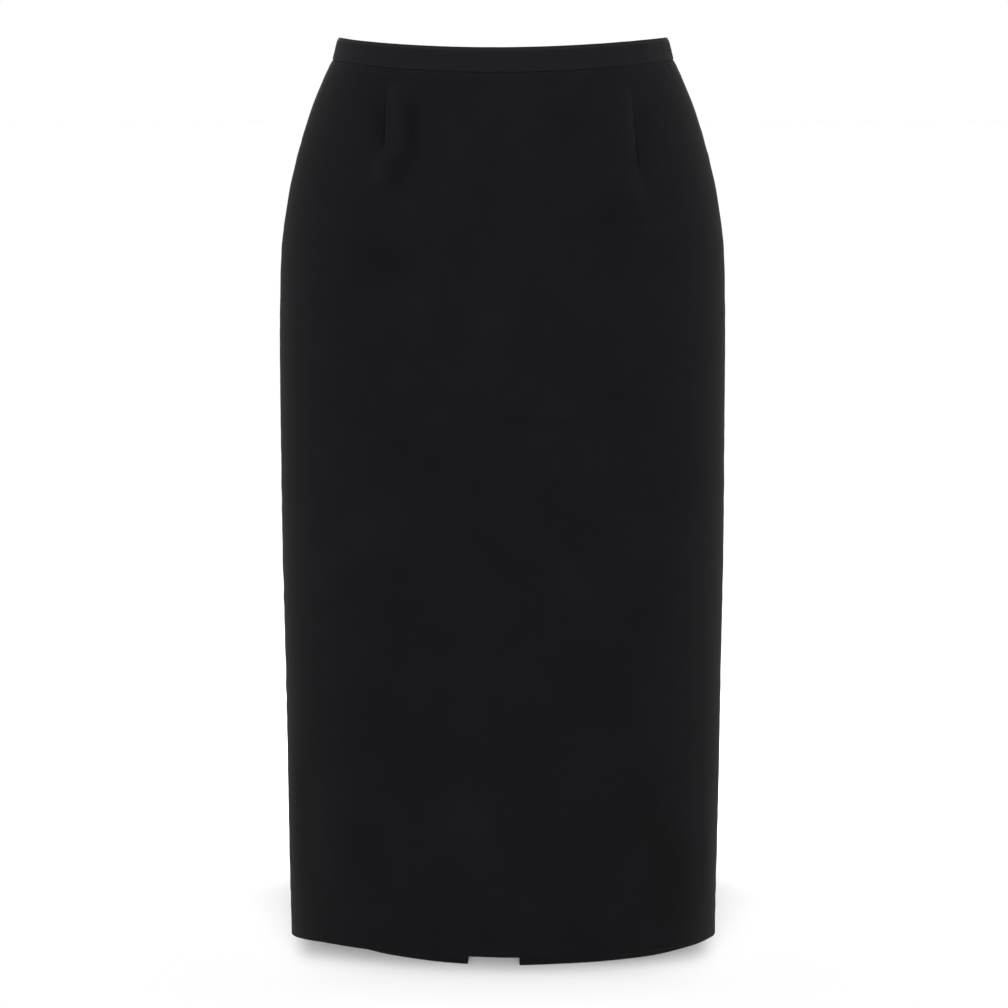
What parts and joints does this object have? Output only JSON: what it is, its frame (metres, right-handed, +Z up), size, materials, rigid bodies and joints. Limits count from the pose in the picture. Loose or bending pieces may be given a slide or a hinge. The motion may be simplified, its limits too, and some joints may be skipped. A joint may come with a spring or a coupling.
{
  "type": "black midi pencil skirt with a narrow waistband, filled out as worn",
  "caption": "Straight midi skirt filled out as worn: narrow waistband, front and back waist darts, concealed centre-back zip with a swinging pull tab, open slit at the back hem.",
  "frame": {"origin": "centre of the waist opening, level with the waistband's highest points, which lie over the side seams; the skirt hangs below it", "axes": "+Z up, centre front faces -Y, the wearer's left is +X"},
  "size_m": [0.3556, 0.2468, 0.7563],
  "materials": {
    "crepe": "matte black crepe",
    "zip_tape": "black woven tape",
    "zip_coil": "black nylon coil",
    "zip_metal": "satin black enamel"
  },
  "bodies": {
    "skirt": {"front_panel": "crepe", "back_panel_left": "crepe", "back_panel_right": "crepe", "waistband": "crepe", "zip_tape_left": "zip_tape", "zip_tape_right": "zip_tape", "zip_coil": "zip_coil", "zip_stop": "zip_metal", "zip_slider": "zip_metal"},
    "pull": {"zip_pull": "zip_metal"}
  },
  "joints": [
    {"name": "pull_swing", "type": "hinge", "parent": "skirt", "child": "pull", "pos_m": [0, 0.09526, -0.01825], "axis": [1, 0, 0], "range_deg": [0, 150]}
  ]
}
